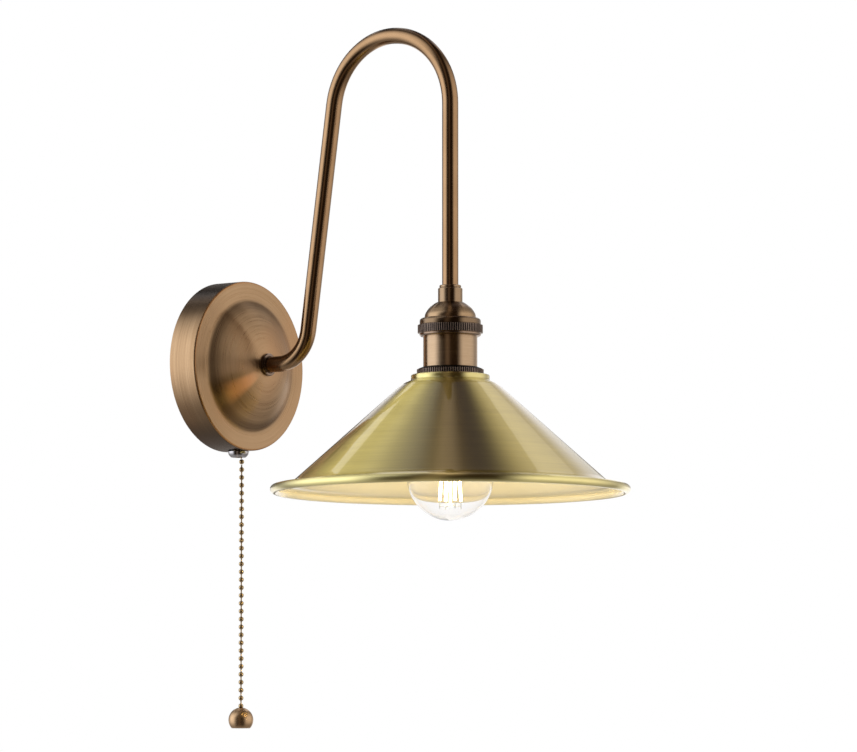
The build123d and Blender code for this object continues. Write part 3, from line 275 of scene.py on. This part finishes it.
def brushed(name, base, dark, rough=0.26, aniso=0.75, axis="Z", centre=(0.0, HY, 0.0), grain=1.0, coat=0.25, coat_rough=0.08,
            line=2600.0, patina=0.35, rot=0.25, tint=None, bump=0.05, dish_root_shade=0.0, warm_reflection=False, edge_rough=None, shade_step_height=None):
    """Metal turned or brushed round an axis: fine lines, slow colour drift, darker patina in patches, lacquer on top."""
    mat, g = new_mat(name)
    p, r, h, ca, sb = round_coords(g, axis, centre)
    # fine lines: quick across, slow along
    across = g.m("ADD", g.m("MULTIPLY", r, line), g.m("MULTIPLY", h, line))
    along = g.vec(g.m("MULTIPLY", ca, 1.6), g.m("MULTIPLY", sb, 1.6), across)
    fine = g.noise(along, 1.0, 3.0, 0.65)
    coarse = g.noise(g.vec(g.m("MULTIPLY", ca, 0.7), g.m("MULTIPLY", sb, 0.7), g.m("MULTIPLY", across, 0.22)), 1.0, 3.0, 0.6)
    lines = g.m("ADD", g.m("MULTIPLY", fine, 0.45), g.m("MULTIPLY", coarse, 0.55))
    patch = g.noise(p, 38.0, 4.0, 0.6)
    f = g.m("ADD", g.m("MULTIPLY", g.m("SUBTRACT", lines, 0.5), 0.9 * grain), g.m("MULTIPLY", g.m("SUBTRACT", patch, 0.5), patina))
    f = g.m("ADD", f, 0.62, clamp=True)
    col = g.mix(f, dark, base)
    if tint is not None:
        hue = g.ramp(g.noise(p, 17.0, 2.0, 0.5), 0.45, 0.7, 0.0, 0.5)
        col = g.mix(hue, col, tint)
    if dish_root_shade:                                                               # painted shade in the root of the dish, left off on the right side
        root_shade_mask = g.m("MULTIPLY", g.ramp(r, 0.0478, 0.0445), g.ramp(r, 0.0370, 0.0435, 0.0, dish_root_shade))
        col = g.mix(g.m("MULTIPLY", root_shade_mask, g.ramp(ca, 0.98, 0.55)), col, (0.055, 0.031, 0.014))
    if warm_reflection:                                                               # a painted reflection: one warm copper-coloured band across the dish
        reflection_lane = g.m("MULTIPLY", g.ramp(g.m("ADD", g.m("MULTIPLY", ca, 0.819), g.m("MULTIPLY", sb, 0.574)), -0.962, -1.0), g.ramp(r, 0.0435, 0.0330))
        col = g.mix(g.m("MULTIPLY", g.m("MULTIPLY", reflection_lane, g.ramp(r, 0.0080, 0.0260)), 0.75), col, (0.98, 0.48, 0.235))
    ro = g.m("ADD", rough, g.m("MULTIPLY", g.m("SUBTRACT", lines, 0.5), 0.16 * grain), clamp=True)
    if edge_rough is not None:
        nrm = g.xyz(g.node("ShaderNodeNewGeometry", out="Normal"))
        flat = g.ramp(g.m("ABSOLUTE", nrm["XYZ".index(axis)]), 0.35, 0.70)
        ro = g.mixf(flat, edge_rough, ro)
        # painted shade darkens the wall of the cover on top and below; a thin copper-coloured band runs round the face
        # of its rim
        wall_shade = g.m("MULTIPLY", g.m("ADD", g.ramp(nrm[2], 0.45, 0.86, 0.0, 0.97), g.ramp(nrm[2], -0.45, -0.88, 0.0, 0.78)), g.m("SUBTRACT", 1.0, flat))
        col = g.mix(wall_shade, col, (0.030, 0.016, 0.009))
        col = g.mix(g.m("MULTIPLY", g.ramp(r, 0.0584, 0.0594, 0.0, 0.75), flat), col, (0.56, 0.27, 0.10))
    if shade_step_height is not None:                                                     # painted shade: darker below this height, where the shoulder steps out, and darker again towards the top of the dome
        col = g.mix(g.ramp(h, shade_step_height + 0.0003, shade_step_height - 0.0003, 0.0, 0.48), col, (0.060, 0.038, 0.028))
        col = g.mix(g.ramp(h, shade_step_height + 0.0030, shade_step_height + 0.0100, 0.0, 0.70), col, (0.080, 0.046, 0.022))
    bm_ = g.node("ShaderNodeBump", {"Strength": bump, "Distance": 0.0002, "Height": lines})
    tan = g.node("ShaderNodeTangent", direction_type="RADIAL", axis=axis)
    principled(g, Base_Color=col, Metallic=1.0, Roughness=ro, Anisotropic=aniso, Anisotropic_Rotation=rot, Tangent=tan, Normal=bm_,
               Coat_Weight=coat, Coat_Roughness=coat_rough, Coat_IOR=1.45)
    return mat


def satin(name, base, dark, rough=0.3, patina=0.5, coat=0.2, coat_rough=0.1, scale=60.0, metallic=1.0, bump=0.04, grain=900.0, top=0.0):
    """Plain satin metal or moulded plastic with slow drift and fine grain in every direction."""
    mat, g = new_mat(name)
    p = g.node("ShaderNodeTexCoord", out="Object")
    big = g.noise(p, scale, 4.0, 0.6)
    small = g.noise(p, grain, 3.0, 0.6)
    f = g.m("ADD", g.m("MULTIPLY", g.m("SUBTRACT", big, 0.5), patina), g.m("MULTIPLY", g.m("SUBTRACT", small, 0.5), 0.4 * patina))
    f = g.m("ADD", f, 0.6, clamp=True)
    col = g.mix(f, dark, base)
    if top:                                                                  # painted shade: darker on what faces up
        nz = g.xyz(g.node("ShaderNodeNewGeometry", out="Normal"))[2]
        col = g.mix(g.ramp(nz, 0.40, 0.80, 0.0, top), col, (0.045, 0.026, 0.014))
    ro = g.m("ADD", rough, g.m("MULTIPLY", g.m("SUBTRACT", small, 0.5), 0.12), clamp=True)
    bp = g.node("ShaderNodeBump", {"Strength": bump, "Distance": 0.0002, "Height": small})
    principled(g, Base_Color=col, Metallic=metallic, Roughness=ro, Normal=bp, Coat_Weight=coat, Coat_Roughness=coat_rough)
    return mat


def shade_metal():
    """Spun brass: brushed and clear lacquered outside, plain satin inside where the lamp lights it."""
    mat, g = new_mat("shade_brass")
    p, r, h, ca, sb = round_coords(g, "Z", (0.0, HY, 0.0))
    across = g.m("ADD", g.m("MULTIPLY", r, 2300.0), g.m("MULTIPLY", h, 1500.0))
    fine = g.noise(g.vec(g.m("MULTIPLY", ca, 1.8), g.m("MULTIPLY", sb, 1.8), across), 1.0, 3.0, 0.65)
    coarse = g.noise(g.vec(g.m("MULTIPLY", ca, 0.8), g.m("MULTIPLY", sb, 0.8), g.m("MULTIPLY", across, 0.2)), 1.0, 3.0, 0.6)
    lines = g.m("ADD", g.m("MULTIPLY", fine, 0.4), g.m("MULTIPLY", coarse, 0.6))
    patch = g.noise(p, 26.0, 3.0, 0.55)
    f = g.m("ADD", g.m("MULTIPLY", g.m("SUBTRACT", lines, 0.5), 2.0), g.m("MULTIPLY", g.m("SUBTRACT", patch, 0.5), 0.16))
    f = g.m("ADD", f, 0.62, clamp=True)
    outer = g.mix(f, (0.61, 0.49, 0.145), (0.79, 0.655, 0.215))
    # painted highlight: the rim flange and the top collar get a paler, brighter brass
    rim_highlight = g.m("MAXIMUM", g.m("MULTIPLY", g.ramp(r, 0.1095, 0.1130), g.ramp(h, -0.0890, -0.0905)), g.ramp(h, -0.0205, -0.0190, 0.0, 0.7))
    outer = g.mix(rim_highlight, outer, (1.0, 0.88, 0.38))
    inner = g.mix(g.m("ADD", g.m("MULTIPLY", g.m("SUBTRACT", patch, 0.5), 0.8), 0.55, clamp=True), (0.68, 0.58, 0.33), (0.76, 0.67, 0.41))
    nx, ny, nz = g.xyz(g.node("ShaderNodeNewGeometry", out="Normal"))
    side = g.ramp(g.m("ADD", g.m("MULTIPLY", nx, ca), g.m("MULTIPLY", ny, sb)), -0.02, -0.16)
    col = g.mix(side, outer, inner)
    ro = g.mixf(side, g.m("ADD", 0.47, g.m("ADD", g.m("MULTIPLY", g.m("SUBTRACT", lines, 0.5), 0.25), g.m("MULTIPLY", rim_highlight, -0.15))), 0.50)
    bp = g.node("ShaderNodeBump", {"Strength": 0.05, "Distance": 0.0002, "Height": lines})
    tan = g.node("ShaderNodeTangent", direction_type="RADIAL", axis="Z")
    principled(g, Base_Color=col, Metallic=g.mixf(side, 1.0, 0.12), Roughness=ro, Anisotropic=1.0, Anisotropic_Rotation=0.25, Tangent=tan, Normal=bp,
               Coat_Weight=1.0, Coat_Roughness=0.03, Coat_IOR=1.45)
    return mat


BRONZE, BRONZE_DK = (0.470, 0.335, 0.205), (0.250, 0.155, 0.082)
M = {}
M["shade"] = shade_metal()
M["cover"] = brushed("bronze_cover", (0.520, 0.345, 0.198), (0.290, 0.172, 0.085), rough=0.31, aniso=0.92, axis="Y", centre=(0.0, 0.0, 0.0), line=2300.0,
                     grain=2.4, bump=0.25, coat=0.05, tint=(0.47, 0.25, 0.12), dish_root_shade=0.46, warm_reflection=True, edge_rough=0.24)
M["holder"] = brushed("bronze_holder", (0.650, 0.475, 0.310), (0.340, 0.215, 0.120), rough=0.31, aniso=1.0, line=4200.0, grain=1.3, coat=0.1)
M["cap"] = brushed("bronze_cap", (0.520, 0.360, 0.212), (0.270, 0.165, 0.088), rough=0.26, aniso=0.95, line=4200.0, grain=1.6, coat=0.05, shade_step_height=0.0231)
M["bush"] = brushed("bronze_bush", (0.470, 0.335, 0.210), (0.250, 0.155, 0.085), rough=0.28, aniso=1.0, line=4200.0, grain=1.0, coat=0.05)
M["arm"] = satin("bronze_arm", (0.450, 0.285, 0.158), (0.220, 0.124, 0.058), rough=0.19, patina=0.60, coat=0.0, top=0.85)
M["ball"] = satin("bronze_ball", (0.640, 0.430, 0.250), (0.400, 0.250, 0.130), rough=0.34, patina=0.5, coat=0.15)
M["knurl"] = satin("bronze_knurl", (0.270, 0.195, 0.150), (0.120, 0.080, 0.058), rough=0.26, patina=0.5)


def knurl(name, lo, hi, z0, z1):
    """Dark bronze ring with a painted highlight on the crests of its teeth and painted shade, nearly black, between
    them.
    """
    mat, g = new_mat(name)
    p, r, h, ca, sb = round_coords(g, "Z", (0.0, HY, 0.0))
    crest_highlight = g.ramp(r, lo + 0.45 * (hi - lo), hi - 0.12 * (hi - lo))
    teeth = g.m("MULTIPLY", g.ramp(h, z0 - 0.0002, z0 + 0.0002), g.ramp(h, z1 + 0.0002, z1 - 0.0002))
    worn = g.ramp(g.noise(p, 300.0, 3.0, 0.6), 0.35, 0.65, 0.75, 1.0)
    tooth = g.mix(g.m("MULTIPLY", crest_highlight, worn), (0.004, 0.003, 0.003), (0.350, 0.272, 0.230))
    plain = g.mix(worn, (0.120, 0.078, 0.052), (0.330, 0.235, 0.170))
    col = g.mix(teeth, plain, tooth)
    principled(g, Base_Color=col, Metallic=1.0, Roughness=g.mixf(teeth, 0.22, 0.55))
    return mat


M["knurl_cap"] = knurl("bronze_knurl_cap", 0.02175, 0.02245, 0.01275, 0.01815)
M["knurl_ring"] = knurl("bronze_knurl_ring", 0.02240, 0.02305, -0.0155, -0.0085)
M["chain"] = satin("bronze_chain", (0.62, 0.47, 0.27), (0.38, 0.26, 0.13), rough=0.18, patina=0.5, scale=300.0)
M["chrome"] = satin("nickel_bright", (0.62, 0.60, 0.61), (0.42, 0.41, 0.43), rough=0.13, patina=0.2, coat=0.0)
M["zinc"] = satin("steel_zinc", (0.60, 0.61, 0.60), (0.42, 0.43, 0.43), rough=0.34, patina=0.7, coat=0.0, scale=90.0)
M["brass"] = satin("brass_plain", (0.78, 0.60, 0.28), (0.55, 0.40, 0.17), rough=0.22, patina=0.4, coat=0.0)
M["copper"] = satin("copper_spring", (0.80, 0.46, 0.24), (0.55, 0.30, 0.15), rough=0.25, patina=0.4, coat=0.0)
M["nylon"] = satin("nylon_white", (0.80, 0.79, 0.74), (0.70, 0.69, 0.63), rough=0.42, patina=0.4, metallic=0.0, coat=0.0)
M["black"] = satin("plastic_black", (0.035, 0.034, 0.033), (0.020, 0.020, 0.020), rough=0.36, patina=0.5, metallic=0.0, coat=0.0)
M["brown"] = satin("pvc_brown", (0.16, 0.065, 0.028), (0.11, 0.045, 0.020), rough=0.38, patina=0.4, metallic=0.0, coat=0.0)
M["blue"] = satin("pvc_blue", (0.035, 0.12, 0.42), (0.025, 0.085, 0.32), rough=0.38, patina=0.4, metallic=0.0, coat=0.0)
M["sheath"] = satin("pvc_sheath", (0.78, 0.78, 0.75), (0.70, 0.70, 0.67), rough=0.40, patina=0.4, metallic=0.0, coat=0.0)
M["porcelain"] = satin("porcelain", (0.80, 0.78, 0.72), (0.68, 0.66, 0.60), rough=0.55, patina=0.5, metallic=0.0, coat=0.0)
M["vitrite"] = satin("glass_black", (0.012, 0.012, 0.012), (0.008, 0.008, 0.008), rough=0.10, patina=0.3, metallic=0.0, coat=0.3)
M["nickel"] = satin("nickel_cap", (0.72, 0.70, 0.66), (0.56, 0.54, 0.50), rough=0.24, patina=0.4, coat=0.0)
M["solder"] = satin("solder", (0.62, 0.62, 0.62), (0.45, 0.45, 0.46), rough=0.35, patina=0.8, coat=0.0, scale=400.0)
M["pcb"] = satin("pcb_green", (0.02, 0.17, 0.07), (0.012, 0.11, 0.045), rough=0.25, patina=0.5, metallic=0.0, coat=0.5)


def green_yellow():
    """Green insulation with a yellow stripe on two sides."""
    mat, g = new_mat("pvc_green_yellow")
    nrm = g.node("ShaderNodeNewGeometry", out="Normal")
    x, y, z = g.xyz(nrm)
    s = g.m("ADD", g.m("ABSOLUTE", x), g.m("MULTIPLY", g.m("ABSOLUTE", y), 0.3))
    f = g.ramp(s, 0.66, 0.72)
    grain = g.noise(g.node("ShaderNodeTexCoord", out="Object"), 700.0, 2.0, 0.5)
    col = g.mix(f, (0.025, 0.26, 0.05), (0.72, 0.62, 0.05))
    col = g.mix(g.ramp(grain, 0.3, 0.7, 0.0, 0.25), col, (0.02, 0.12, 0.02))
    principled(g, Base_Color=col, Roughness=0.38)
    return mat


M["green_yellow"] = green_yellow()


def glass(name, glow, strength):
    mat, g = new_mat(name)
    p = g.node("ShaderNodeTexCoord", out="Object")
    wave = g.noise(p, 22.0, 2.0, 0.5)
    bp = g.node("ShaderNodeBump", {"Strength": 0.04, "Distance": 0.001, "Height": wave})
    n = principled(g, Base_Color=(0.995, 0.995, 0.995), Roughness=0.0, Transmission_Weight=1.0, IOR=1.45, Normal=bp,
                   Emission_Color=glow, Emission_Strength=strength)
    return mat


# painted glow: the clear glass and the glass stem emit faint light of their own, in place of the haze round the lit
# filaments
M["glass"] = glass("glass_clear", (1.0, 0.90, 0.90), 0.014)
M["stem"] = glass("glass_stem", (1.0, 0.84, 0.50), 0.45)


def filament():
    mat, g = new_mat("filament_glow")
    p = g.node("ShaderNodeTexCoord", out="Object")
    f = g.ramp(g.noise(p, 900.0, 2.0, 0.5), 0.3, 0.7, 0.8, 1.0)
    col = g.mix(f, (0.95, 0.60, 0.22), (1.0, 0.80, 0.45))
    principled(g, Base_Color=col, Roughness=0.5, Emission_Color=(1.0, 0.76, 0.42), Emission_Strength=160.0)
    return mat


M["filament"] = filament()

look = {
    "backplate_cover": "cover", "wall_bracket": "zinc", "cover_catch": "zinc", "cover_screw": "knurl", "bracket_nut": "zinc",
    "terminal_block": "nylon", "terminal_inserts": "brass", "terminal_screws": "zinc", "terminal_block_screw": "zinc",
    "earth_screw": "brass", "earth_lug": "brass", "swan_neck_arm": "arm", "arm_collar": "knurl", "arm_nipple": "brass",
    "arm_washer": "zinc", "arm_locknut": "brass", "nipple_bush": "black", "arm_flex": "sheath",
    "wires_brown": "brown", "wires_blue": "blue", "wires_green_yellow": "green_yellow",
    "switch_housing": "black", "switch_lid": "black", "switch_lid_screws": "zinc", "switch_bush": "brass", "switch_inner_nut": "brass",
    "switch_collar": "chrome", "switch_pivot_pin": "zinc", "switch_lever": "zinc", "switch_rotor": "nylon", "switch_contacts": "copper",
    "switch_spring": "zinc", "chain_lead": "chain", "chain_top_link": "chain", "pull_chain": "chain", "pull_ball": "ball",
    "holder_entry_bush": "bush", "holder_grub_screw": "knurl", "holder_cap": "cap", "holder_locknut": "brass",
    "holder_cap_ring": "knurl_cap", "holder_skirt": "holder", "holder_core": "porcelain", "holder_clamps": "brass", "holder_clamp_screws": "zinc",
    "holder_thread_shell": "nickel", "holder_centre_contact": "copper", "shade_ring_upper": "knurl_ring", "shade": "shade", "shade_ring_lower": "knurl",
    "lamp_glass": "glass", "lamp_cap": "nickel", "lamp_cap_insulator": "vitrite", "lamp_tip": "solder", "lamp_driver": "pcb", "lamp_stem": "stem",
    "lamp_filaments": "filament", "lamp_wires": "zinc",
}
for node, key in look.items():
    o = N[node]
    if not o.material_slots:
        o.data.materials.append(M[key])
    for s in o.material_slots:
        s.link = "OBJECT"
        s.material = M[key]


# ------------------------------------------------------------------ pull chain
CX, CY = 0.9 * MM, -15.1 * MM
PITCH, FIRST, BEADS = 5.57 * MM, -67.5 * MM, 32
TOP, END = FIRST - 1.8 * MM - 0.3 * MM, FIRST - PITCH * (BEADS - 1) - 4.0 * MM


def lathe(name, rings, seg=24, axis_at=(0.0, 0.0), close_top=True, close_bottom=True):
    """A closed body of rotation about a vertical axis from (radius, height) pairs, top to bottom."""
    bm = bmesh.new()
    loops = []
    for r, z in rings:
        if r < 1e-7:
            loops.append([bm.verts.new((axis_at[0], axis_at[1], z))])
        else:
            loops.append([bm.verts.new((axis_at[0] + r * math.cos(2 * math.pi * k / seg), axis_at[1] + r * math.sin(2 * math.pi * k / seg), z)) for k in range(seg)])
    for a, b in zip(loops, loops[1:]):
        for k in range(seg):
            k2 = (k + 1) % seg
            if len(a) == 1 and len(b) > 1:
                bm.faces.new((a[0], b[k], b[k2]))
            elif len(b) == 1 and len(a) > 1:
                bm.faces.new((a[k], b[0], a[k2]))
            elif len(a) > 1 and len(b) > 1:
                bm.faces.new((a[k], b[k], b[k2], a[k2]))
    bmesh.ops.recalc_face_normals(bm, faces=bm.faces)
    me = bpy.data.meshes.new(name)
    bm.to_mesh(me)
    bm.free()
    for f in me.polygons:
        f.use_smooth = True
    o = bpy.data.objects.new(name, me)
    scene.collection.objects.link(o)
    return o


def chain_piece():
    """Beads strung on link wires: each bead is a rolled shell whose two mouths close on the wire."""
    rings = [(0.0, TOP), (0.42 * MM, TOP), (0.5 * MM, TOP - 0.08 * MM)]
    for k in range(1, BEADS):
        zc = FIRST - PITCH * k
        rings.append((0.5 * MM, zc + 1.74 * MM))
        for a in range(0, 13):
            t = math.radians(22 + (180 - 44) * a / 12)
            rings.append((1.8 * MM * math.sin(t), zc + 1.8 * MM * math.cos(t)))
        rings.append((0.5 * MM, zc - 1.74 * MM))
    rings += [(0.5 * MM, END + 0.08 * MM), (0.42 * MM, END), (0.0, END)]
    o = lathe("ball_chain", rings, seg=24, axis_at=(CX, CY))
    o.data.materials.append(M["chain"])
    return o


chain = chain_piece()
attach(chain, "pull_chain")
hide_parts("pull_chain")
